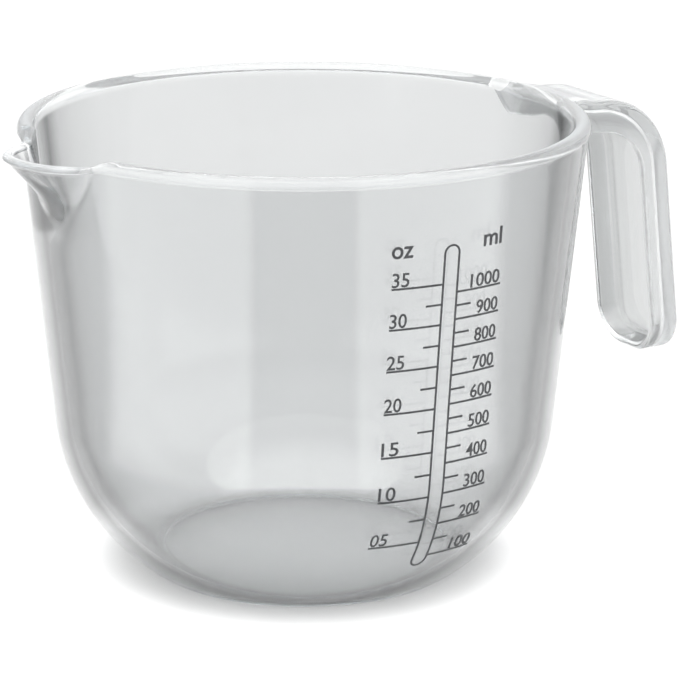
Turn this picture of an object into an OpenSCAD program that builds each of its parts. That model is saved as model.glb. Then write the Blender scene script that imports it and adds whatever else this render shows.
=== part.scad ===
// Measuring jug: a clear one-piece moulded bowl with a pouring spout, an open
// strap handle and a printed scale. Millimetres, Z up, foot on z = 0,
// spout towards -X, handle towards +X, scale towards -Y.

/* [Bowl] */
// height of the rim above the table
jug_height = 120.6; // [100:0.1:150]
// outer radius of the wall at the rim
rim_radius = 74.2; // [60:0.1:95]
// lean of the upper wall from the vertical, degrees
wall_draft = 5.6; // [3:0.1:9]
// outer radius of the rounded lower wall
belly_radius = 54.4; // [48:0.1:60]
// height of the centre of the rounded lower wall
belly_height = 45.2; // [40:0.1:47]
// thickness of the wall
wall_thickness = 4; // [2:0.1:5]
// thickness of the floor
floor_thickness = 2; // [1.5:0.1:4]

/* [Foot and rim] */
// height of the foot ring under the floor
foot_height = 1; // [0.6:0.1:2]
// width of the foot ring where it stands on the table
foot_width = 3.4; // [2:0.1:6]
// height of the bead round the rim
bead_height = 2.9; // [2.6:0.1:4]
// reach of the bead beyond the wall
bead_overhang = 0.8; // [0.3:0.1:1.2]

/* [Spout] */
// reach of the spout beyond the wall at the rim
spout_reach = 13.2; // [8:0.1:18]
// plan radius of the spout at the rim
spout_radius = 20.5; // [14:0.1:22]
// lean of the ridge under the spout from the vertical, degrees
spout_flare = 42; // [35:0.5:50]
// lean of the spout's flanks from the vertical, degrees
spout_taper = 27; // [15:0.5:35]
// width of the rounded valley between spout and wall
spout_blend = 4; // [2:0.1:5]
// drop of the lip at its two flanks
lip_side_dip = 1.2; // [0:0.1:3]
// drop of the lip at its tip
lip_tip_dip = 0.7; // [0:0.1:2]

/* [Handle] */
// width of the strap
handle_width = 27.5; // [20:0.1:36]
// drop of the strap's top below the top of the bead
handle_drop = 1.3; // [0.8:0.1:1.8]
// length of the flat top between the wall and the bend
handle_top = 12; // [8:0.1:20]
// outer radius of the bend
handle_bend = 22.1; // [16:0.1:26]
// lean of the grip from the vertical, degrees
handle_lean = 6.5; // [0:0.1:10]
// height of the open lower end above the table
handle_end = 42.8; // [35:0.1:55]
// corner radius of the lower end
handle_corner = 11; // [6:0.1:13]
// depth of the flange that stiffens the strap
flange_depth = 9; // [7:0.1:12]
// thickness of the flange
flange_thickness = 3; // [2:0.1:4]
// radius of the fillets between strap and rim
root_fillet = 8; // [5:0.1:12]

/* [Printed scale] */
// width of the column between the two rows of marks
column_width = 4.6; // [3:0.1:6]
// height of the lower end of the column
column_bottom = 13.7; // [10:0.1:16]
// gap between the rim and the upper end of the column
column_headroom = 18.9; // [14:0.1:24]
// width of a printed line
line_width = 0.5; // [0.3:0.05:0.8]
// length of a numbered mark along the wall
long_mark = 13.6; // [10:0.1:18]
// length of a mark without a number
short_mark = 4.2; // [3:0.1:7]
// thickness of the ink
ink_thickness = 0.15; // [0.1:0.05:0.3]
// numbered millilitre marks
ml_marks = 10; // [8:1:12]
// millilitres between numbered marks are a multiple of this
ml_round = 10; // [5:5:20]
// numbered fluid ounce marks
oz_marks = 7; // [5:1:9]
// fluid ounces between numbered marks are a multiple of this
oz_round = 1; // [1:1:2]
// share of the brim volume that the highest mark stays under
scale_share = 0.72; // [0.6:0.01:0.8]

/* [Hidden] */
$fn = 96;

// one US fluid ounce in millilitres
ounce_ml = 29.5735;
cubic_mm_in_ml = 1000;

// points of an arc from one angle to another, with chords that stay close to it
chord_height = 0.015;
function arc(centre, radius, from, to) =
  let (steps = ceil(abs(to - from) / (2 * acos(1 - chord_height / radius))))
  [for (i = [0 : steps])
    let (turn = from + (to - from) * i / steps)
    centre + radius * [cos(turn), sin(turn)]];

// the belly's arc runs into the straight wall without a corner
tangent_z = belly_height - belly_radius * sin(wall_draft);
belly_centre = rim_radius - belly_radius * cos(wall_draft) - (jug_height - tangent_z) * tan(wall_draft);
foot_radius = belly_centre + sqrt(pow(belly_radius, 2) - pow(belly_height, 2));
floor_z = foot_height + floor_thickness;
bead_base = jug_height - bead_height;
wall_across = wall_thickness / cos(wall_draft);
clear_of_part = 2 * rim_radius;

// section of the bowl's surface, inset from the outer one, from a height up to the rim
function surface_line(inset, base) = concat(
  arc([belly_centre, belly_height], belly_radius - inset,
    -asin((belly_height - base) / (belly_radius - inset)), -wall_draft),
  [[rim_radius - inset / cos(wall_draft), jug_height]]
);

outer_line = surface_line(0, 0);
inner_line = surface_line(wall_thickness, floor_z);

// radius of a section line at a height
function radius_on(line, z) = lookup(z, [for (point = line) [point.y, point.x]]);
function outer_radius(z) = radius_on(outer_line, z);

// region inside a section line, between two heights
module inside(line, base, top) {
  polygon(concat(
    [[0, base], [radius_on(line, base), base]],
    [for (point = line) if (point.y > base && point.y < top) point],
    [[radius_on(line, top), top], [0, top]]
  ));
}

/* Rim: a bead with a full round top */
bead_inside = radius_on(inner_line, bead_base);
bead_outside = outer_radius(bead_base) + bead_overhang;
bead_half = (bead_outside - bead_inside) / 2;
bead_middle = (bead_outside + bead_inside) / 2;
bead_steps = 12;
bead_turns = [for (i = [0 : bead_steps]) 180 * i / bead_steps];

module bead_section() {
  polygon(concat(
    [[bead_outside, bead_base]],
    [for (turn = bead_turns)
      [bead_middle + bead_half * cos(turn), jug_height - bead_half * (1 - sin(turn))]],
    [[bead_inside, bead_base]]
  ));
}

/* Spout: at each height the wall's circle and a smaller circle towards -X, blended.
   Angles are measured from -X. */
spout_edge_angle = asin(spout_radius / (rim_radius + spout_reach - spout_radius));
spout_half_angle = 1.17 * spout_edge_angle;
spout_depth = (spout_reach + spout_blend) / (tan(spout_flare) - tan(wall_draft));
spout_base = jug_height - spout_depth - wall_thickness / 4;
spout_steps = 56;
spout_rows = 12;
// angles at which the lip is lowest and level again
dip_angle = 0.7 * spout_edge_angle;
level_angle = 1.06 * spout_edge_angle;

function smooth_step(x) = let (t = min(max(x, 0), 1)) t * t * (3 - 2 * t);
function smooth_max(a, b, width) =
  let (near = max(width - abs(a - b), 0) / width) max(a, b) + near * near * width / 4;

// distance from the jug's axis to the spout's circle in one direction
function circle_reach(centre, radius, angle) =
  let (under_root = pow(radius, 2) - pow(centre * sin(angle), 2))
  centre * cos(angle) + sign(under_root) * sqrt(abs(under_root));

function spout_reach_at(angle, z, inset) =
  let (
    drop = jug_height - z,
    tip = rim_radius + spout_reach - drop * tan(spout_flare) - inset / cos(spout_flare),
    radius = spout_radius - drop * tan(spout_taper) - inset / cos(spout_taper)
  )
  smooth_max(
    radius_on(outer_line, z) - inset / cos(wall_draft),
    circle_reach(tip - radius, radius, angle),
    spout_blend
  );

function lip_drop(angle) =
  abs(angle) < dip_angle
  ? lip_tip_dip + (lip_side_dip - lip_tip_dip) * smooth_step(abs(angle) / dip_angle)
  : lip_side_dip * (1 - smooth_step((abs(angle) - dip_angle) / (level_angle - dip_angle)));

function from_spout_axis(angle, radius, z) = [-radius * cos(angle), radius * sin(angle), z];

// triangles of a closed tube through equal rings of points, with flat ends
function tube_faces(rings, count) = concat(
  [for (i = [0 : rings - 2], j = [0 : count - 1])
    let (a = i * count + j, b = i * count + (j + 1) % count) [a, b, a + count]],
  [for (i = [0 : rings - 2], j = [0 : count - 1])
    let (a = i * count + j, b = i * count + (j + 1) % count) [b, b + count, a + count]],
  [[for (j = [count - 1 : -1 : 0]) j]],
  [[for (j = [0 : count - 1]) (rings - 1) * count + j]]
);

function spout_angle(i) = spout_half_angle * (2 * i / spout_steps - 1);

// one upright slice of the spout's wall: up the outer face, down the inner one
function spout_slice(angle) =
  let (rise = bead_base - lip_drop(angle) - spout_base)
  concat(
    [for (j = [0 : spout_rows])
      let (z = spout_base + rise * j / spout_rows)
      from_spout_axis(angle, spout_reach_at(angle, z, 0), z)],
    [for (j = [spout_rows : -1 : 0])
      let (z = spout_base + rise * j / spout_rows)
      from_spout_axis(angle, spout_reach_at(angle, z, wall_thickness), z)]
  );

// one upright slice of the lip: the bead's section, stretched across the wall
function lip_slice(angle) =
  let (
    base = bead_base - lip_drop(angle),
    wall_out = spout_reach_at(angle, base, 0),
    wall_in = spout_reach_at(angle, base, wall_thickness),
    overhang = bead_overhang * (wall_out - wall_in) / wall_across,
    middle = (wall_out + overhang + wall_in) / 2,
    half = (wall_out + overhang - wall_in) / 2,
    side = bead_height - bead_half
  )
  concat(
    [from_spout_axis(angle, middle + half, base)],
    [for (turn = bead_turns)
      from_spout_axis(angle, middle + half * cos(turn), base + side + bead_half * sin(turn))],
    [from_spout_axis(angle, middle - half, base)]
  );

module swept(slices) {
  points = [for (slice = slices) each slice];
  polyhedron(points, tube_faces(len(slices), len(slices[0])));
}

// sector of the jug that the spout takes up, from a height upwards
module spout_sector(base) {
  side = clear_of_part * tan(spout_half_angle);
  translate([0, 0, base]) linear_extrude(jug_height)
    polygon([[0, 0], [-clear_of_part, side], [-clear_of_part, -side]]);
}

/* Handle: a strap that leaves the rim, bends down and ends free */
half_strap = handle_width / 2;
bend_x = rim_radius + handle_top;
strap_top = jug_height - handle_drop;
bend_z = strap_top - handle_bend;
root_side = half_strap + root_fillet;
root_x = sqrt(pow(bead_outside + root_fillet, 2) - pow(root_side, 2));
// the strap takes over from the bead where the bead's round top has come down to it
root_start = bead_middle + bead_half * cos(asin(1 - handle_drop / bead_half));
// from here outwards the front outline of the grip holds too
split_x = (root_x + bend_x) / 2;

// side view, x and z: the strap's outer line and a parallel line at a depth
module side_band(depth) {
  centre = [bend_x, bend_z];
  out = [cos(handle_lean), sin(handle_lean)];
  down = (bend_z - handle_end + handle_bend) * [out.y, -out.x];
  polygon(concat(
    [[rim_radius / 2, strap_top]],
    arc(centre, handle_bend, 90, handle_lean),
    [centre + handle_bend * out + down, centre + (handle_bend - depth) * out + down],
    arc(centre, handle_bend - depth, handle_lean, 90),
    [[rim_radius / 2, strap_top - depth]]
  ));
}

// plan view, x and y: the root's outline with its two fillets
module root_outline(inset) {
  end_turn = 180 - atan(root_side / root_x);
  polygon(concat(
    [[bend_x, inset - half_strap]],
    arc([root_x, -root_side], root_fillet + inset, 90, end_turn),
    [[0, 0]],
    arc([root_x, root_side], root_fillet + inset, -end_turn, -90),
    [[bend_x, half_strap - inset]]
  ));
}

// front view, y and z: the grip's outline with its rounded lower end
module grip_outline(inset) {
  corner_y = half_strap - handle_corner;
  corner_z = handle_end + handle_corner;
  polygon(concat(
    arc([-corner_y, corner_z], handle_corner - inset, 180, 270),
    arc([corner_y, corner_z], handle_corner - inset, 270, 360),
    [[half_strap - inset, 2 * jug_height], [inset - half_strap, 2 * jug_height]]
  ));
}

module root_prism() {
  linear_extrude(2 * jug_height) children();
}

module grip_prism() {
  translate([split_x, 0, 0]) rotate([90, 0, 90]) linear_extrude(clear_of_part) children();
}

module side_prism() {
  translate([0, handle_width, 0]) rotate([90, 0, 0]) linear_extrude(2 * handle_width) children();
}

/* Scale: each mark sits at the height to which its volume fills the bowl */
function frustum_ml(low, high) =
  PI * (high.y - low.y) * (pow(low.x, 2) + low.x * high.x + pow(high.x, 2)) / 3 / cubic_mm_in_ml;

// millilitres held below a height, summed over the frustums of the inner line
function held_ml(z) =
  let (line = concat(
    [for (point = inner_line) if (point.y < z) point],
    [[radius_on(inner_line, z), z]]
  ))
  total([for (i = [1 : len(line) - 1]) frustum_ml(line[i - 1], line[i])]);

function total(parts) = parts * [for (part = parts) 1];

// height of the surface when the bowl holds a volume, by halving the interval
function fill_height(ml, low = floor_z, high = jug_height, halvings = 32) =
  let (middle = (low + high) / 2)
  halvings == 0 ? middle
  : held_ml(middle) < ml ? fill_height(ml, middle, high, halvings - 1)
  : fill_height(ml, low, middle, halvings - 1);

// step between numbered marks, in units of so many millilitres
function mark_step(count, unit_ml, round_to) =
  round_to * floor(scale_share * held_ml(jug_height) / (count * unit_ml * round_to));

ml_step = mark_step(ml_marks, 1, ml_round);
oz_step = mark_step(oz_marks, ounce_ml, oz_round);

// a printed line round the wall; side 1 runs from the column towards +X, -1 towards -X
module mark(z, length, side) {
  low = z - line_width / 2;
  high = z + line_width / 2;
  start = asin(column_width / 2 / outer_radius(z));
  sweep = length / outer_radius(z) * 180 / PI;
  rotate([0, 0, side > 0 ? -90 + start : -90 - start - sweep])
    rotate_extrude(angle = sweep)
      polygon([
        [outer_radius(low), low],
        [outer_radius(low) + ink_thickness, low],
        [outer_radius(high) + ink_thickness, high],
        [outer_radius(high), high]
      ]);
}

// long outline with round ends, in the front view
module column_shape(inset) {
  end_radius = column_width / 2;
  column_top = jug_height - column_headroom;
  polygon(concat(
    arc([0, column_bottom + end_radius], end_radius - inset, 180, 360),
    arc([0, column_top - end_radius], end_radius - inset, 0, 180)
  ));
}

module bowl() {
  color([0.86, 0.89, 0.91]) difference() {
    rotate_extrude() difference() {
      inside(outer_line, foot_height, bead_base);
      inside(inner_line, floor_z, jug_height);
    }
    spout_sector(spout_base);
  }
}

module foot_ring() {
  color([0.80, 0.83, 0.85]) rotate_extrude() polygon([
    [foot_radius - foot_width, 0],
    [foot_radius, 0],
    [outer_radius(foot_height), foot_height],
    [foot_radius - foot_width, foot_height]
  ]);
}

module rim_bead() {
  color([0.93, 0.95, 0.96]) difference() {
    rotate_extrude() bead_section();
    spout_sector(foot_height);
    difference() {
      root_prism() polygon([[0, 0], [root_x, -root_side], [root_x, root_side]]);
      cylinder(r = root_start, h = 2 * jug_height);
    }
  }
}

module spout() {
  color([0.84, 0.88, 0.91]) swept([for (i = [0 : spout_steps]) spout_slice(spout_angle(i))]);
}

module spout_lip() {
  color([0.93, 0.95, 0.96]) swept([for (i = [0 : spout_steps]) lip_slice(spout_angle(i))]);
}

module handle_panel() {
  color([0.85, 0.88, 0.90]) difference() {
    intersection() {
      side_prism() side_band(bead_height);
      union() {
        root_prism() root_outline(0);
        grip_prism() grip_outline(0);
      }
    }
    translate([0, 0, bead_base]) cylinder(r = root_start, h = jug_height);
    rotate_extrude() inside(outer_line, foot_height, bead_base);
  }
}

module handle_flange() {
  color([0.78, 0.82, 0.85]) difference() {
    intersection() {
      side_prism() difference() {
        side_band(flange_depth);
        side_band(bead_height);
      }
      union() {
        root_prism() difference() {
          root_outline(0);
          root_outline(flange_thickness);
        }
        grip_prism() difference() {
          grip_outline(0);
          grip_outline(flange_thickness);
        }
      }
    }
    rotate_extrude() inside(outer_line, foot_height, bead_base);
  }
}

module scale_column() {
  ink_line = [for (point = outer_line) point + [ink_thickness, 0]];
  color([0.22, 0.23, 0.25]) intersection() {
    rotate_extrude() difference() {
      inside(ink_line, column_bottom / 2, jug_height);
      inside(outer_line, column_bottom / 2, jug_height);
    }
    rotate([90, 0, 0]) linear_extrude(clear_of_part) difference() {
      column_shape(0);
      column_shape(line_width);
    }
  }
}

module ml_major_marks() {
  color([0.22, 0.23, 0.25])
    for (i = [1 : ml_marks]) mark(fill_height(i * ml_step), long_mark, 1);
}

module ml_minor_marks() {
  color([0.22, 0.23, 0.25])
    for (i = [1 : ml_marks - 1]) mark(fill_height((i + 1 / 2) * ml_step), short_mark, 1);
}

module oz_major_marks() {
  color([0.22, 0.23, 0.25])
    for (i = [1 : oz_marks]) mark(fill_height(i * oz_step * ounce_ml), long_mark, -1);
}

module oz_minor_marks() {
  color([0.22, 0.23, 0.25])
    for (i = [1 : oz_marks - 1])
      mark(fill_height((i + 1 / 2) * oz_step * ounce_ml), short_mark, -1);
}

bowl();
foot_ring();
rim_bead();
spout();
spout_lip();
handle_panel();
handle_flange();
scale_column();
ml_major_marks();
ml_minor_marks();
oz_major_marks();
oz_minor_marks();
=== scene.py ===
"""Clear plastic measuring jug: one moulded shell, and the printed scale on its wall."""
import math

import bmesh
import bpy
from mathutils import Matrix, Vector


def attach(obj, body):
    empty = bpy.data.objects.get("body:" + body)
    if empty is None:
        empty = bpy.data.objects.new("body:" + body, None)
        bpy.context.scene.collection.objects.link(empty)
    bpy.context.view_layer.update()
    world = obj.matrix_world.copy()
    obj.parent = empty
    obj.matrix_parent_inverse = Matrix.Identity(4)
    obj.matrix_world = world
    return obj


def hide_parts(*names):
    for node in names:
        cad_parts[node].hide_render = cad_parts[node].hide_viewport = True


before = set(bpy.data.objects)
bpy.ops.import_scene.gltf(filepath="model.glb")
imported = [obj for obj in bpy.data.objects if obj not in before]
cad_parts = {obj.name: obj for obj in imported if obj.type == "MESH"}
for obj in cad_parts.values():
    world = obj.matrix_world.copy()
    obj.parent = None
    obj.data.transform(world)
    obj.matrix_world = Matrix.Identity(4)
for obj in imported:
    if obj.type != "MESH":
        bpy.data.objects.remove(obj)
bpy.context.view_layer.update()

MM = 0.001  # in metres
CUBIC_MM_IN_ML = 1000

# Sizes of the part as in its source, in mm and radians. The bowl, its foot and its bead
HEIGHT, RIM, DRAFT = 120.6, 74.2, math.radians(5.6)
BELLY, BELLY_Z = 54.4, 45.2
WALL, FLOOR = 4.0, 2.0
FOOT_H, FOOT_W = 1.0, 3.4
BEAD_H, OVERHANG = 2.9, 0.8
# The spout, and how far the bead dips at its sides and its tip
REACH, SPOUT_R, BLEND = 13.2, 20.5, 4.0
FLARE, TAPER = math.radians(42), math.radians(27)
SIDE_DIP, TIP_DIP = 1.2, 0.7
# The handle
STRAP, DROP, TOP, BEND, LEAN = 27.5, 1.3, 12.0, 22.1, math.radians(6.5)
GRIP_END, CORNER, FLANGE_D, FLANGE_T, FILLET = 42.8, 11.0, 9.0, 3.0, 8.0
# The printed scale
COLUMN, LONG_MARK, INK = 4.6, 13.6, 0.15
OUNCE_ML = 29.5735

TANGENT_Z = BELLY_Z - BELLY * math.sin(DRAFT)
BELLY_X = RIM - BELLY * math.cos(DRAFT) - (HEIGHT - TANGENT_Z) * math.tan(DRAFT)
FOOT_R = BELLY_X + math.sqrt(BELLY ** 2 - BELLY_Z ** 2)
FLOOR_Z = FOOT_H + FLOOR
BEAD_Z = HEIGHT - BEAD_H
ACROSS = WALL / math.cos(DRAFT)
# Degrees from -X of the spout's edge, of the bead's lowest place and of its level again
EDGE_AT = math.degrees(math.asin(SPOUT_R / (RIM + REACH - SPOUT_R)))
DIP_AT, LEVEL_AT = 0.7 * EDGE_AT, 1.06 * EDGE_AT

# The shell's finer form, which the solids don't have, in mm
FOOT_ROUND, HEEL_ROUND, HEEL_Z = 0.4, 0.6, 1.6
FLOOR_ROUND = 9.0
# The crease under the bead, and the rounding of the bead's lower edge
CREASE_UNDER, CREASE_DROP, CREASE_OUT = 0.35, 0.12, (0.05, 0.18)
EDGE_BACK, EDGE_UP = (0.3, 0.08), (0.02, 0.1, 0.3)
# The lip of the spout: its wall, and the share of the bead's height that is left. Both ease
# in from so many degrees past the spout's edge, and the wall with its height too
LIP_WALL, LIP_SHARE = 1.9, 0.5
LIP_PAST, LIP_EASE = 3, 7
THIN_FROM, THIN_RISE = 93, 24
# Beyond this turn, and below this height, the wall has no spout
SPOUT_TURN, SPOUT_Z = math.radians(40), 92.0

# The shell's mesh: rows up a slice, and degrees between slices in the spout and elsewhere
BELLY_ROWS, WALL_ROWS, SPOUT_ROWS, BEAD_ROWS = 46, 12, 26, 18
BASIN_ROWS, CORNER_ROWS, ROUND_STEPS = 42, 8, 5
UNDER_SHARES, FLOOR_SHARES = (0.25, 0.5, 0.75, 0.92), (0.8, 0.55, 0.3)
FINE_SIDE, FINE_STEP, COARSE_STEP = 30, 0.6, 1.5
WELD = 2e-7  # in metres
SHARP = math.radians(28)  # a larger turn between two faces shows as an edge


def between(start, end, steps):
    """Values from start to end in equal steps, both ends among them."""
    return [start + (end - start) * k / steps for k in range(steps + 1)]


def smooth_step(x):
    x = min(max(x, 0), 1)
    return x * x * (3 - 2 * x)


def smooth_max(a, b, width):
    """The larger value, rounded where the two are less than a width apart."""
    near = max(width - abs(a - b), 0) / width
    return max(a, b) + near * near * width / 4


def wall_radius(z, inset=0.0):
    """Radius of the wall's outer surface at a height, or of a surface inset from it."""
    low = BELLY_Z - (BELLY - inset) * math.sin(DRAFT)
    if z < low:
        return BELLY_X + math.sqrt(max((BELLY - inset) ** 2 - (BELLY_Z - z) ** 2, 0))
    return RIM - inset / math.cos(DRAFT) - (HEIGHT - z) * math.tan(DRAFT)


def circle_reach(centre, radius, angle):
    """How far out a circle reaches at an angle from the line to its centre. Past its edge
    the value goes on falling, so that the blend with the wall stays smooth."""
    under = radius ** 2 - (centre * math.sin(angle)) ** 2
    return centre * math.cos(angle) + math.copysign(math.sqrt(abs(under)), under)


def surface_radius(angle, z, inset):
    """The wall, and towards -X the spout; angles are measured from -X."""
    wall = wall_radius(z, inset)
    if abs(angle) > SPOUT_TURN:
        return wall
    drop = HEIGHT - z
    tip = RIM + REACH - drop * math.tan(FLARE) - inset / math.cos(FLARE)
    radius = SPOUT_R - drop * math.tan(TAPER) - inset / math.cos(TAPER)
    return smooth_max(wall, circle_reach(tip - radius, radius, angle), BLEND)


def in_spout(angle):
    """1 inside the spout, easing to 0 past its edges."""
    return smooth_step((EDGE_AT + LIP_PAST - abs(math.degrees(angle))) / LIP_EASE)


def wall_at(angle, z):
    """The wall's thickness, which thins towards the lip of the spout."""
    change = (LIP_WALL - WALL) * in_spout(angle)
    return WALL + change * smooth_step((z - THIN_FROM) / THIN_RISE)


def lip_drop(angle):
    """How far the bead lies below its height elsewhere, along the spout."""
    turn = abs(math.degrees(angle))
    if turn < DIP_AT:
        return TIP_DIP + (SIDE_DIP - TIP_DIP) * smooth_step(turn / DIP_AT)
    return SIDE_DIP * (1 - smooth_step((turn - DIP_AT) / (LEVEL_AT - DIP_AT)))


def rounded(a, corner, b, radius):
    """Points of a fillet in a corner, from the side of one point to that of another."""
    a, corner, b = Vector(a), Vector(corner), Vector(b)
    to_a, to_b = (a - corner).normalized(), (b - corner).normalized()
    half = to_a.angle(to_b) / 2
    reach = radius / math.tan(half)
    middle = corner + (to_a + to_b).normalized() * radius / math.sin(half)
    start, end = corner + to_a * reach - middle, corner + to_b * reach - middle
    made = []
    for turn in between(0, start.angle_signed(end), ROUND_STEPS):
        c, s = math.cos(turn), math.sin(turn)
        made.append((middle.x + c * start.x + s * start.y,
                     middle.y - s * start.x + c * start.y))
    return made


def basin(x, z, radius, turns):
    """Points of an arc below a centre, at angles under the horizontal."""
    return [(x + radius * math.cos(t), z - radius * math.sin(t)) for t in turns]


def foot_line():
    """From the middle of the underside round the foot ring."""
    inside = FOOT_R - FOOT_W
    line = [(inside * share, FOOT_H) for share in UNDER_SHARES]
    line += rounded((0, FOOT_H), (inside, FOOT_H), (inside, 0), FOOT_ROUND)
    line += rounded((inside, FOOT_H), (inside, 0), (FOOT_R, 0), FOOT_ROUND)
    line += rounded((inside, 0), (FOOT_R, 0), (wall_radius(HEEL_Z), HEEL_Z), HEEL_ROUND)
    return line


def outer_line(angle, base):
    """Up the outer face, from the foot to just under the bead."""
    first = math.asin((BELLY_Z - HEEL_Z) / BELLY)
    line = basin(BELLY_X, BELLY_Z, BELLY, between(first, DRAFT, BELLY_ROWS))
    heights = between(TANGENT_Z, SPOUT_Z, WALL_ROWS)[1:]
    heights += between(SPOUT_Z, base - CREASE_UNDER, SPOUT_ROWS)[1:]
    return line + [(surface_radius(angle, z, 0), z) for z in heights]


def bead_line(angle, base):
    """From the crease under the bead round its lower edge and over its round top."""
    outer = surface_radius(angle, base, 0)
    inner = surface_radius(angle, base, wall_at(angle, base))
    side = outer + OVERHANG * (outer - inner) / ACROSS
    low = 1 + (LIP_SHARE - 1) * in_spout(angle)
    line = [(outer + CREASE_OUT[0] * low, base - CREASE_DROP), (outer + CREASE_OUT[1] * low, base),
            (side - EDGE_BACK[0] * low, base + EDGE_UP[0]),
            (side - EDGE_BACK[1] * low, base + EDGE_UP[1] * low), (side, base + EDGE_UP[2] * low)]
    middle, half = (side + inner) / 2, (side - inner) / 2
    round_h = (OVERHANG + ACROSS) / 2 * low
    centre_z = base + BEAD_H * low - round_h
    for turn in between(0, math.pi, BEAD_ROWS):
        line.append((middle + half * math.cos(turn), centre_z + round_h * math.sin(turn)))
    return line


def inner_line(angle, base):
    """Down the inner face, and round its corner to the middle of the floor."""
    radius = BELLY - WALL
    low = BELLY_Z - radius * math.sin(DRAFT)
    line = [(surface_radius(angle, z, wall_at(angle, z)), z)
            for z in between(SPOUT_Z, base, SPOUT_ROWS)[::-1]]
    line += [(surface_radius(angle, z, WALL), z) for z in between(low, SPOUT_Z, WALL_ROWS)[-2:0:-1]]
    last = math.asin((BELLY_Z - FLOOR_Z - FLOOR_ROUND) / (radius - FLOOR_ROUND))
    centre = BELLY_X + (radius - FLOOR_ROUND) * math.cos(last)
    line += basin(BELLY_X, BELLY_Z, radius, between(DRAFT, last, BASIN_ROWS))
    line += basin(centre, FLOOR_Z + FLOOR_ROUND, FLOOR_ROUND,
                  between(last, math.pi / 2, CORNER_ROWS)[1:])
    return line + [(centre * share, FLOOR_Z) for share in FLOOR_SHARES]


def shell_slice(angle):
    """Radius and height along one upright slice, from the middle of the underside, up
    the outer face, over the bead and down the inner face to the middle of the floor."""
    base = BEAD_Z - lip_drop(angle)
    return foot_line() + outer_line(angle, base) + bead_line(angle, base) + inner_line(angle, base)


def linked(name, data):
    obj = bpy.data.objects.new(name, data)
    bpy.context.scene.collection.objects.link(obj)
    return obj


def new_piece(name, mesh):
    """An object of the part, which rides on the jug."""
    obj = linked(name, mesh)
    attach(obj, "root")
    return obj


def mesh_of(name, points, faces):
    """A mesh of points in mm, with its double points joined and its faces turned out."""
    mesh = bpy.data.meshes.new(name)
    mesh.from_pydata([Vector(p) * MM for p in points], [], faces)
    bm = bmesh.new()
    bm.from_mesh(mesh)
    bmesh.ops.remove_doubles(bm, verts=bm.verts, dist=WELD)
    bmesh.ops.recalc_face_normals(bm, faces=bm.faces)
    bm.to_mesh(mesh)
    bm.free()
    return mesh


def shell_mesh():
    """The bowl, with its foot, bead and spout, from slices all round the axis."""
    fine, coarse = round(2 * FINE_SIDE / FINE_STEP), round((360 - 2 * FINE_SIDE) / COARSE_STEP)
    turns = [-FINE_SIDE + FINE_STEP * k for k in range(fine)]
    turns += [FINE_SIDE + COARSE_STEP * k for k in range(coarse)]
    slices = [shell_slice(math.radians(t if t <= 180 else t - 360)) for t in turns]
    points, faces = [], []
    for turn, line in zip(turns, slices):
        c, s = math.cos(math.radians(turn)), math.sin(math.radians(turn))
        points += [(-r * c, r * s, z) for r, z in line]
    count, rings = len(slices[0]), len(slices)
    under, floor = len(points), len(points) + 1
    points += [(0, 0, FOOT_H), (0, 0, FLOOR_Z)]
    starts = [(i * count, (i + 1) % rings * count) for i in range(rings)]
    for a, b in starts:
        faces += [(a + j, b + j, b + j + 1, a + j + 1) for j in range(count - 1)]
    for a, b in starts:
        faces += [(under, b, a), (floor, a + count - 1, b + count - 1)]
    return mesh_of("jug_shell", points, faces)


# The handle's finer form, which the solids don't have, in mm and radians. The strap's top
# slopes down to the bend, and its outer face is set in a little from the solid's
HALF, SLOPE, SET_IN = STRAP / 2, 1.5, 0.4
EDGE_ROUND, HOLLOW_ROUND, TIP_T = 1.6, 2.4, 2.2
STRAP_TOP = HEIGHT - DROP
BEND_X, BEND_Z = RIM + TOP - SET_IN, STRAP_TOP - SLOPE - BEND
BEND_LENGTH = BEND * (math.pi / 2 - LEAN)
GRIP_LENGTH = (BEND_Z + BEND * math.sin(LEAN) - GRIP_END) / math.cos(LEAN)
STRAP_END = BEND_X + BEND_LENGTH + GRIP_LENGTH
# The root: the radius inside the wall at which the strap starts, the centre of its fillet,
# the share of the flange's depth that is left there, and how far it spreads and turns for
# each mm of inset
START = 71.9
ROOT_Y = HALF + FILLET
ROOT_X = math.sqrt((wall_radius(BEAD_Z) + OVERHANG + FILLET) ** 2 - ROOT_Y ** 2)
ROOT_SHARE, ROOT_SPREAD, ROOT_TURN = 0.2, 1.75, math.radians(9.5)
# The handle's mesh: rows along it, shares of the way out to its edge where the points across
# it lie, and the power of that share in the rows of the root, which are curved
FILLET_ROWS, FADE_ROWS, SIDE_ROWS, END_ROWS = 12, 7, 64, 14
ACROSS_SHARES, ROOT_POWER = (0.0, 0.3, 0.6, 0.85), 2
# The seam with the bead lies outwards and upwards of this place. A thinner face is a sliver
SEAM_X, SEAM_Z, SLIVER = 66, 108, 0.02


def strap_place(s, y, depth):
    """A point on the strap: along its top line from the jug's axis, across, and inwards."""
    if s <= BEND_X:
        down = SLOPE * smooth_step((s - RIM) / (BEND_X - RIM))
        return s, y, STRAP_TOP - down - depth
    r = BEND - depth
    if s <= BEND_X + BEND_LENGTH:
        turn = math.pi / 2 - (s - BEND_X) / BEND
        return BEND_X + r * math.cos(turn), y, BEND_Z + r * math.sin(turn)
    down = s - BEND_X - BEND_LENGTH
    down -= depth * math.tan(LEAN) * min(down / GRIP_LENGTH, 1)
    return (BEND_X + r * math.cos(LEAN) + down * math.sin(LEAN), y,
            BEND_Z + r * math.sin(LEAN) - down * math.cos(LEAN))


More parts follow.
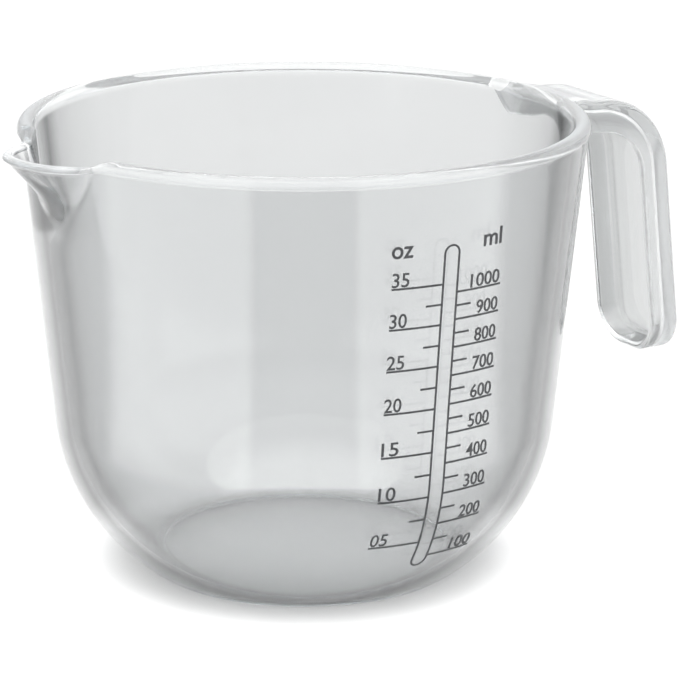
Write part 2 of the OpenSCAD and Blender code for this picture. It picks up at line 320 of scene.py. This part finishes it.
def strap_rows():
    """Rows across one half of the strap, from the root to the middle of the lower end:
    the edge point for an inset, the middle point, the power of the way between, and the
    share of the depth."""
    touch = math.atan2(ROOT_Y, ROOT_X)
    heel = STRAP_END - HALF

    def in_wall(inset):
        y = START * math.sin(touch) - ROOT_SPREAD * inset
        return math.sqrt(START ** 2 - y ** 2), y

    def fillet(k):
        def edge(inset):
            first = touch + ROOT_TURN * inset
            turn = first + (math.pi / 2 - first) * k / FILLET_ROWS
            return (ROOT_X - (FILLET + inset) * math.cos(turn),
                    ROOT_Y - (FILLET + inset) * math.sin(turn))
        return edge

    def side(s):
        return lambda inset: (s, HALF - inset)

    def corner(turn):
        return lambda inset: (STRAP_END - CORNER + (CORNER - inset) * math.cos(turn),
                              HALF - CORNER + (CORNER - inset) * math.sin(turn))

    def end(y):
        return lambda inset: (STRAP_END - inset, y)

    rows = [(in_wall, START, ROOT_POWER, ROOT_SHARE)]
    for k in range(FILLET_ROWS + 1):
        middle = START + (ROOT_X - START) * (k + 1) / (FILLET_ROWS + 1)
        share = ROOT_SHARE + (1 - ROOT_SHARE) * smooth_step(k / FADE_ROWS)
        rows.append((fillet(k), middle, ROOT_POWER, share))
    for s in between(ROOT_X, STRAP_END - CORNER, SIDE_ROWS)[1:]:
        rows.append((side(s), min(s, heel), 1, 1))
    for k in range(1, END_ROWS + 1):
        rows.append((corner(math.pi / 2 * (1 - k / END_ROWS)), heel, 1, 1))
    return rows + [(end((HALF - CORNER) / 2), heel, 1, 1), (end(0), heel, 1, 1)]


def strap_section():
    """Inset from the edge and depth, from the top face round the flange to the inner face."""
    turns = [math.radians(90 * k / ROUND_STEPS) for k in range(ROUND_STEPS + 1)]
    tip = TIP_T / 2
    line = [(EDGE_ROUND * (1 - math.sin(t)), EDGE_ROUND * (1 - math.cos(t))) for t in turns]
    line.append((0, FLANGE_D / 2))
    line += [(tip * (1 - math.cos(t)), FLANGE_D - tip + tip * math.sin(t)) for t in turns]
    line += [(tip + tip * math.sin(t), FLANGE_D - tip + tip * math.cos(t)) for t in turns[1:]]
    line += [(FLANGE_T + HOLLOW_ROUND * (1 - math.cos(t)),
              BEAD_H + HOLLOW_ROUND * (1 - math.sin(t))) for t in turns]
    return line


def handle_mesh():
    """The strap and its flange, from rows down one side and up the other."""
    section = strap_section()
    half = [row + (1,) for row in strap_rows()]
    rows = half + [row[:-1] + (-1,) for row in half[-2::-1]]
    points, faces = [], []

    def put(row, inset, depth, share=1):
        edge, middle, power, deep, side = row
        s, y = edge(inset)
        points.append(strap_place(middle + (s - middle) * share ** power,
                                  side * y * share, depth * deep))

    for row in rows:
        for share in ACROSS_SHARES:
            put(row, *section[0], share)
        for inset, depth in section:
            put(row, inset, depth)
        for share in ACROSS_SHARES[::-1]:
            put(row, *section[-1], share)
    spread = len(ACROSS_SHARES)
    count, total = len(section) + 2 * spread, len(rows)
    for i in range(total - 1):
        a, b = i * count, (i + 1) * count
        faces += [(a + j, a + j + 1, b + j + 1, b + j) for j in range(count - 1)]
    for start in (0, (total - 1) * count):
        for k in range(spread):
            faces.append((start + k, start + k + 1, start + count - 2 - k, start + count - 1 - k))
        faces.append(tuple(start + k for k in range(spread, count - spread)))
    return mesh_of("jug_handle", points, faces)


def clear_slivers(mesh):
    """Clears slivers, and pairs of faces that lie on each other, left by the union."""
    bm = bmesh.new()
    bm.from_mesh(mesh)
    bmesh.ops.dissolve_degenerate(bm, dist=SLIVER * MM, edges=bm.edges)
    centres = [(face, face.calc_center_median()) for face in bm.faces]
    seam = [face for face, at in centres if at.x > SEAM_X * MM and at.z > SEAM_Z * MM]
    bmesh.ops.triangulate(bm, faces=seam)
    same = {}
    for face in bm.faces:
        same.setdefault(frozenset(face.verts), []).append(face)
    doubles = [face for faces in same.values() if len(faces) > 1 for face in faces]
    bmesh.ops.delete(bm, geom=doubles, context="FACES")
    bm.to_mesh(mesh)
    bm.free()


def joined_shell():
    """The bowl and the handle as one moulding."""
    body = linked("jug_body_part", shell_mesh())
    handle = linked("jug_handle_part", handle_mesh())
    union = body.modifiers.new("union", "BOOLEAN")
    union.operation, union.solver, union.object = "UNION", "EXACT", handle
    bpy.context.view_layer.update()
    made = body.evaluated_get(bpy.context.evaluated_depsgraph_get())
    mesh = bpy.data.meshes.new_from_object(made)
    for spent in (body, handle):
        bpy.data.objects.remove(spent)
    mesh.name = "jug"
    clear_slivers(mesh)
    mesh.shade_smooth()
    mesh.set_sharp_from_angle(angle=SHARP)
    shell = new_piece("clear_jug", mesh)
    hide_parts("bowl", "foot_ring", "rim_bead", "spout", "spout_lip",
                "handle_panel", "handle_flange")
    return shell


# The printed words, in mm. Each number stands over its long mark, at the mark's outer end
ML_NUMBERS, OZ_NUMBERS = range(100, 1100, 100), range(5, 40, 5)
MARK_END, NUMBER_RISE = COLUMN / 2 + LONG_MARK, 0.5
ML_CAP, ML_DIGIT, ML_GAP, ML_BACK = 3.65, 2.42, 0.3, 0.4
OZ_CAP, OZ_WIDTH = 3.8, 4.5
# The units: place along the wall, base line, height and width
UNIT_OZ, UNIT_ML = (-13.6, 99.5, 4.7, 5.6), (12.4, 99.8, 4.6, 5.9)
# Of the font at size 1: the height of a capital, the strokes' extra weight and the depth
FONT_CAP, NUMBER_WEIGHT, UNIT_WEIGHT, FONT_DEPTH = 0.729, 0.006, 0.012, 0.02
INK_BACK = 0.01  # how far the back of a word lies off the wall
# How finely a volume is summed, and how often the range of its height is halved
DISCS, HALVINGS = 400, 30


def held_ml(z):
    """Volume under a height, summed over thin discs of the inner face."""
    step = (z - FLOOR_Z) / DISCS
    heights = [FLOOR_Z + (k + 0.5) * step for k in range(DISCS)]
    return sum(math.pi * wall_radius(h, WALL) ** 2 * step for h in heights) / CUBIC_MM_IN_ML


def fill_height(ml):
    """Height to which a volume fills the bowl."""
    low, high = FLOOR_Z, HEIGHT
    for _ in range(HALVINGS):
        middle = (low + high) / 2
        low, high = (middle, high) if held_ml(middle) < ml else (low, middle)
    return low


def print_text(name, words, centre_u, base_z, cap, width, weight):
    """Lettering wrapped round the wall: centre_u is along the wall from the middle of the
    column, positive towards +X."""
    curve = bpy.data.curves.new(name, "FONT")
    curve.body = words
    curve.size = 1.0
    curve.align_x = "CENTER"
    curve.extrude = FONT_DEPTH
    curve.offset = weight
    curve.resolution_u = 4
    flat = linked(name + "_flat", curve)
    bpy.context.view_layer.update()
    made = flat.evaluated_get(bpy.context.evaluated_depsgraph_get())
    mesh = bpy.data.meshes.new_from_object(made)
    bpy.data.objects.remove(flat)
    xs = [v.co.x for v in mesh.vertices]
    middle = (max(xs) + min(xs)) / 2
    scale_u, scale_v = width / (max(xs) - min(xs)), cap / FONT_CAP
    for v in mesh.vertices:
        z = base_z + v.co.y * scale_v
        r = wall_radius(z) + (INK if v.co.z > 0 else INK_BACK)
        turn = (centre_u + (v.co.x - middle) * scale_u) / wall_radius(z)
        v.co = Vector((r * math.sin(turn), -r * math.cos(turn), z)) * MM
    mesh.name = name
    return new_piece(name, mesh)


def printed_words():
    """The numbers of both scales and their units."""
    made = []
    for ml in ML_NUMBERS:
        digits = str(ml)
        width = ML_DIGIT * len(digits) - ML_GAP
        made.append(print_text("number_ml_%d" % ml, digits, MARK_END - ML_BACK - width / 2,
                               fill_height(ml) + NUMBER_RISE, ML_CAP, width, NUMBER_WEIGHT))
    for oz in OZ_NUMBERS:
        digits = "%02d" % oz
        made.append(print_text("number_oz_%02d" % oz, digits, OZ_WIDTH / 2 - MARK_END,
                               fill_height(oz * OUNCE_ML) + NUMBER_RISE, OZ_CAP, OZ_WIDTH,
                               NUMBER_WEIGHT))
    made.append(print_text("unit_oz", "oz", *UNIT_OZ, UNIT_WEIGHT))
    made.append(print_text("unit_ml", "ml", *UNIT_ML, UNIT_WEIGHT))
    return made


def nodes_of(name):
    """A new material, its node tree and its shader."""
    material = bpy.data.materials.new(name)
    material.use_nodes = True
    tree = material.node_tree
    return material, tree, tree.nodes["Principled BSDF"]


def set_inputs(node, values):
    for name, value in values.items():
        node.inputs[name].default_value = value


def add(tree, kind, inputs=None, **settings):
    """A new shader node, with its settings and the values of its inputs."""
    node = tree.nodes.new("ShaderNode" + kind)
    for name, value in settings.items():
        setattr(node, name, value)
    set_inputs(node, inputs or {})
    return node


def link(tree, *pairs):
    for source, target in pairs:
        tree.links.new(source, target)


def noise(tree, place, scale, detail):
    node = add(tree, "TexNoise", {"Scale": scale, "Detail": detail})
    link(tree, (place, node.inputs["Vector"]))
    return node.outputs["Fac"]


def mapped(tree, source, low, high):
    """A value from 0 to 1, spread from low to high."""
    node = add(tree, "MapRange", {"To Min": low, "To Max": high})
    link(tree, (source, node.inputs["Value"]))
    return node.outputs["Result"]


def eased(tree, source, start, end, low, high):
    """Goes smoothly from low to high as the source goes from start to end."""
    node = add(tree, "MapRange", interpolation_type="SMOOTHSTEP")
    set_inputs(node, {"From Min": start, "From Max": end, "To Min": low, "To Max": high})
    link(tree, (source, node.inputs["Value"]))
    return node.outputs["Result"]


def maths(tree, operation, first, second):
    """The result of an operation on two values, each an output or a number."""
    node = add(tree, "Math", operation=operation)
    for socket, value in zip(node.inputs, (first, second)):
        if isinstance(value, float):
            socket.default_value = value
        else:
            link(tree, (value, socket))
    return node.outputs[0]


def ramp(tree, source, *stops):
    """Colours along a value: each stop is a place from 0 to 1 and its colour."""
    node = add(tree, "ValToRGB")
    elements = node.color_ramp.elements
    for _ in stops[2:]:
        elements.new(0.5)
    for element, (at, colour) in zip(elements, stops):
        element.position = at
        element.color = (*colour, 1)
    link(tree, (source, node.inputs["Fac"]))
    return node.outputs["Color"]


def mixed(tree, factor, first, colour):
    """A colour with another one mixed in."""
    node = add(tree, "Mix", data_type="RGBA")
    set_inputs(node, {"B": (*colour, 1)})
    link(tree, (factor, node.inputs["Factor"]), (first, node.inputs["A"]))
    return node.outputs["Result"]


# Grey of the plastic from where it is looked at head on to where it is looked at along its
# surface, and the hue of that grey. The dark band towards the edges is partly the longer path
# through the plastic and partly painted shade
FACING_SHADE_GREYS = ((0.0, 0.745), (0.3, 0.745), (0.4, 0.65), (0.5, 0.58), (0.6, 0.46), (0.66, 0.26),
                (0.71, 0.12), (0.78, 0.27), (0.88, 0.44), (1.0, 0.75))
HUE = (0.985, 0.997, 1)
# The bead and the handle, spared the painted edge shade; the painted shade on the top of both; and
# the painted shade on the handle's far side and end
PALE, TOP_SHADE, FAR_SHADE = (0.80, 0.81, 0.81), (0.55, 0.56, 0.56), (0.50, 0.51, 0.51)
# Noises of the moulding, each with its scale and detail, and what they are spread over
TINT, TINT_RANGE = (14, 1), (0.97, 1.03)
HAZE, HAZE_ROUGHNESS = (60, 6), (0.02, 0.07)
RIPPLE, RIPPLE_BUMP = (22, 1), {"Strength": 0.12, "Distance": 0.0006}
# What it takes from the light that passes through, and how it bends that light
ABSORPTION, REFRACTION = {"Color": (0.10, 0.30, 0.40, 1), "Density": 1.5}, 1.49
# Where looks change: an axis, from and to in mm, and the values there
OFF_RIM = RIM + 1.8
PALE_BEAD = ("Z", BEAD_Z - 1.0, BEAD_Z + 0.4, 0.0, 1.0)
PALE_HANDLE = ("X", OFF_RIM, OFF_RIM + 3, 0.0, 0.75)
# Painted shade on the top of the bead, and on the top of the handle above its bend
TOP_SHADE_BEAD = ("Z", HEIGHT - 1.2, HEIGHT - 0.4, 0.0, 1.0)
TOP_SHADE_HANDLE = ("X", OFF_RIM, OFF_RIM + 4, 0.0, 0.75)
TOP_SHADE_BEND = ("Z", HEIGHT - 20.6, HEIGHT - 6.6, 0.0, 1.0)
# Painted shade on the handle's far side and lower end
FAR_SHADE_HANDLE = ("X", OFF_RIM, OFF_RIM + 4, 0.0, 1.0)
FAR_SHADE_SIDE = ("Y", HALF - 4.25, HALF - 2.25, 0.0, 1.0)
FAR_SHADE_END = ("Z", GRIP_END + 2.7, GRIP_END + 6.2, 0.7, 0.0)
CLEAR_BEAD = ("Z", BEAD_Z - 0.3, BEAD_Z + 0.3, 0.96, 0.84)
CLEAR_HANDLE = ("X", OFF_RIM, OFF_RIM + 3, 0.96, 0.84)
CLEAR_LIP = ("X", -OFF_RIM, -OFF_RIM + 6, 0.74, 1.0)
CLEAR_UNDER_LIP = ("Z", BEAD_Z - 2.2, BEAD_Z - 1.6, 1.0, 0.0)


def clear_plastic():
    """Clear plastic, with shade painted on it by angle and by place on the jug."""
    material, tree, shader = nodes_of("clear_plastic_look")
    place = add(tree, "TexCoord").outputs["Object"]
    split = add(tree, "SeparateXYZ")
    link(tree, (place, split.inputs["Vector"]))

    def mask(axis, start, end, low, high):
        return eased(tree, split.outputs[axis], start * MM, end * MM, low, high)

    # partly painted shade: the wall darkens where it is looked at along its surface, more than its
    # thickness would make it
    view = add(tree, "LayerWeight", {"Blend": 0.5})
    stops = [(at, [grey * share for share in HUE]) for at, grey in FACING_SHADE_GREYS]
    colour = ramp(tree, view.outputs["Facing"], *stops)
    # the bead and the handle are spared the painted edge shade and keep a paler grey
    colour = mixed(tree, maths(tree, "MAXIMUM", mask(*PALE_BEAD), mask(*PALE_HANDLE)), colour, PALE)
    # painted shade: the top of both is greyer, and so are the handle's far side and lower end
    bend = maths(tree, "MULTIPLY", mask(*TOP_SHADE_HANDLE), mask(*TOP_SHADE_BEND))
    colour = mixed(tree, maths(tree, "MAXIMUM", mask(*TOP_SHADE_BEAD), bend), colour, TOP_SHADE)
    far = maths(tree, "MAXIMUM", mask(*FAR_SHADE_SIDE), mask(*FAR_SHADE_END))
    colour = mixed(tree, maths(tree, "MULTIPLY", mask(*FAR_SHADE_HANDLE), far), colour, FAR_SHADE)
    # faint uneven tint of the moulding
    tint = add(tree, "VectorMath", operation="SCALE")
    link(tree, (colour, tint.inputs[0]),
         (mapped(tree, noise(tree, place, *TINT), *TINT_RANGE), tint.inputs["Scale"]),
         (tint.outputs["Vector"], shader.inputs["Base Color"]))
    # the bead and the handle are a little milky, and the lip of the spout more so
    milky = maths(tree, "MINIMUM", mask(*CLEAR_BEAD), mask(*CLEAR_HANDLE))
    lip = maths(tree, "MAXIMUM", mask(*CLEAR_LIP), mask(*CLEAR_UNDER_LIP))
    link(tree, (maths(tree, "MINIMUM", milky, lip), shader.inputs["Transmission Weight"]))
    # handling haze: fine scratches and smears in the gloss
    haze = mapped(tree, noise(tree, place, *HAZE), *HAZE_ROUGHNESS)
    link(tree, (haze, shader.inputs["Roughness"]))
    # slow ripple of a moulded surface
    bump = add(tree, "Bump", RIPPLE_BUMP)
    link(tree, (noise(tree, place, *RIPPLE), bump.inputs["Height"]),
         (bump.outputs["Normal"], shader.inputs["Normal"]))
    # a cool tint that deepens with the thickness
    absorb = add(tree, "VolumeAbsorption", ABSORPTION)
    link(tree, (absorb.outputs["Volume"], tree.nodes["Material Output"].inputs["Volume"]))
    set_inputs(shader, {"IOR": REFRACTION})
    return material


# The ink's wear: its noise, the colours along it, and the roughness and gloss
WEAR, FRESH, WORN = (900, 4), (0.35, (0.020, 0.021, 0.023)), (0.75, (0.060, 0.062, 0.066))
INK_ROUGHNESS, INK_GLOSS = (0.4, 0.65), 0.3


def ink():
    """Black ink, worn paler and rougher in small patches."""
    material, tree, shader = nodes_of("ink_look")
    wear = noise(tree, add(tree, "TexCoord").outputs["Object"], *WEAR)
    link(tree, (ramp(tree, wear, FRESH, WORN), shader.inputs["Base Color"]),
         (mapped(tree, wear, *INK_ROUGHNESS), shader.inputs["Roughness"]))
    set_inputs(shader, {"Specular IOR Level": INK_GLOSS})
    return material


def wear_only(obj, material):
    obj.data.materials.clear()
    obj.data.materials.append(material)


# The camera's place round the jug and up, its distance and the height it looks at, in metres
VIEW_TURN, VIEW_UP, VIEW_FAR, VIEW_Z = math.radians(-30), math.radians(15.95), 0.8573, 0.0595
LENS, SENSOR, SHIFT, CLIP = 170.95, 36, 0.0525, (0.01, 50)
# The floor, in metres. The painted pool of light round the jug, painted as whiter paper: its
# shift towards the camera, where its edge starts and ends, and the white and the glow inside and
# outside it
FLOOR_SIDE = 6.0
POOL_TOWARDS, POOL = 0.035, (0.065, 0.088)
NEAR_WHITE, FAR_WHITE = 0.78, 0.08
NEAR_GLOW, FAR_GLOW = 0.0, 0.885
# The painted shadow in a ring round the foot, with painted paler paper inside it, its inner and
# outer side: from, to and the shares of the white there
FOOT_SHADOW_IN, FOOT_SHADOW_OUT = (0.034, 0.042, 1.22, 0.76), (0.045, 0.062, 0.76, 1.0)
# The paper's grain: its noise, from and to in it, and the shares there; and its roughness
GRAIN, GRAIN_RANGE, PAPER_ROUGHNESS = (5, 2), (0.3, 0.7, 0.97, 1.03), 0.8
# The sectors of brighter painted glow: the degrees and the distances where they start and end
SECTOR_START, SECTOR_END = (17, 22), (76, 86)
SECTOR_NEAR, SECTOR_FAR, SECTOR_GLOW = (0.11, 0.16), (0.35, 0.55), 1.35
# The light from all round, by the height in the sky that it comes from, from 0 to 1
HORIZON, WHITE_FROM, OVERHEAD_FROM, OVERHEAD = (0.42, 0.42, 0.43), 0.35, (0.75, 0.95), 1.3
LIGHT, BOUNCES = 2.05, 40


def floor_paper(view_turn):
    """White paper: matt and whiter in a painted pool of light round the jug, glowing evenly
    further out, and with a brighter painted glow in a sector on each side of the way the camera
    looks."""
    material, tree, shader = nodes_of("floor_paper")
    place = add(tree, "TexCoord").outputs["Object"]
    split, reach = add(tree, "SeparateXYZ"), add(tree, "VectorMath", operation="LENGTH")
    shift = add(tree, "VectorMath", operation="SUBTRACT")
    shift.inputs[1].default_value = (POOL_TOWARDS * math.sin(view_turn),
                                     -POOL_TOWARDS * math.cos(view_turn), 0)
    pool = add(tree, "VectorMath", operation="LENGTH")
    link(tree, (place, split.inputs["Vector"]), (place, reach.inputs[0]),
         (place, shift.inputs[0]), (shift.outputs["Vector"], pool.inputs[0]))
    far, near = reach.outputs["Value"], pool.outputs["Value"]

    # painted shadow in a darker ring where the foot stands, and painted light in paler paper inside
    # it
    ring = maths(tree, "MAXIMUM", eased(tree, far, *FOOT_SHADOW_IN), eased(tree, far, *FOOT_SHADOW_OUT))
    # and the painted pool of light: whiter paper near the jug than further out
    white = maths(tree, "MULTIPLY", eased(tree, near, *POOL, NEAR_WHITE, FAR_WHITE), ring)
    grain = eased(tree, noise(tree, place, *GRAIN), *GRAIN_RANGE)
    shade = maths(tree, "MULTIPLY", white, grain)
    colour = add(tree, "CombineColor")
    link(tree, *[(shade, socket) for socket in colour.inputs],
         (colour.outputs["Color"], shader.inputs["Base Color"]))

    # painted light: the paper glows brighter in a sector on each side of the way the camera looks
    front = maths(tree, "MULTIPLY", split.outputs["Y"], -1.0)
    turn = maths(tree, "ARCTAN2", split.outputs["X"], front)
    aside = maths(tree, "ABSOLUTE", maths(tree, "SUBTRACT", turn, view_turn), 0.0)
    glow = maths(tree, "MULTIPLY", eased(tree, aside, *map(math.radians, SECTOR_START), 0.0, 1.0),
                 eased(tree, aside, *map(math.radians, SECTOR_END), 1.0, 0.0))
    glow = maths(tree, "MULTIPLY", glow, eased(tree, far, *SECTOR_NEAR, 0.0, SECTOR_GLOW))
    glow = maths(tree, "MULTIPLY", glow, eased(tree, far, *SECTOR_FAR, 1.0, 0.0))
    glow = maths(tree, "ADD", glow, eased(tree, near, *POOL, NEAR_GLOW, FAR_GLOW))
    link(tree, (glow, shader.inputs["Emission Strength"]))
    set_inputs(shader, {"Roughness": PAPER_ROUGHNESS, "Specular IOR Level": 0.0,
                        "Emission Color": (1, 1, 1, 1)})
    return material


def studio_floor():
    mesh = bpy.data.meshes.new("floor")
    corners = [(x * FLOOR_SIDE, y * FLOOR_SIDE, 0) for x, y in ((-1, -1), (1, -1), (1, 1), (-1, 1))]
    mesh.from_pydata(corners, [], [(0, 1, 2, 3)])
    floor = linked("studio_floor", mesh)
    floor.data.materials.append(floor_paper(VIEW_TURN))


def studio_light():
    """Soft white light from all round, duller at the horizon, and a broad light overhead."""
    world = bpy.data.worlds.new("studio_light")
    bpy.context.scene.world = world
    world.use_nodes = True
    tree = world.node_tree
    split, both = add(tree, "SeparateXYZ"), add(tree, "VectorMath")
    link(tree, (add(tree, "TexCoord").outputs["Generated"], split.inputs["Vector"]))
    up = split.outputs["Z"]
    back = tree.nodes["Background"]
    set_inputs(back, {"Strength": LIGHT})
    link(tree, (ramp(tree, up, (0.0, HORIZON), (WHITE_FROM, (1, 1, 1))), both.inputs[0]),
         (eased(tree, up, *OVERHEAD_FROM, 0.0, OVERHEAD), both.inputs[1]),
         (both.outputs["Vector"], back.inputs["Color"]))


def studio_camera():
    away = Vector((math.sin(VIEW_TURN) * math.cos(VIEW_UP),
                   -math.cos(VIEW_TURN) * math.cos(VIEW_UP), math.sin(VIEW_UP)))
    lens = bpy.data.cameras.new("camera")
    lens.sensor_width, lens.lens, lens.shift_x = SENSOR, LENS, SHIFT
    lens.clip_start, lens.clip_end = CLIP
    camera = linked("camera", lens)
    camera.location = Vector((0, 0, VIEW_Z)) + away * VIEW_FAR
    camera.rotation_euler = (-away).to_track_quat("-Z", "Y").to_euler()
    bpy.context.scene.camera = camera


def scene_settings():
    """Plain colours, and enough bounces for light to pass all walls of the jug."""
    scene = bpy.context.scene
    scene.view_settings.view_transform = "Standard"
    scene.view_settings.look = "None"
    scene.cycles.max_bounces = BOUNCES
    scene.cycles.transmission_bounces = BOUNCES
    scene.cycles.glossy_bounces = BOUNCES
    scene.cycles.volume_bounces = 0


shell = joined_shell()
wear_only(shell, clear_plastic())
black = ink()
for name in ("scale_column", "ml_major_marks", "ml_minor_marks",
             "oz_major_marks", "oz_minor_marks"):
    wear_only(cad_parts[name], black)
for words in printed_words():
    wear_only(words, black)
studio_floor()
studio_light()
studio_camera()
scene_settings()
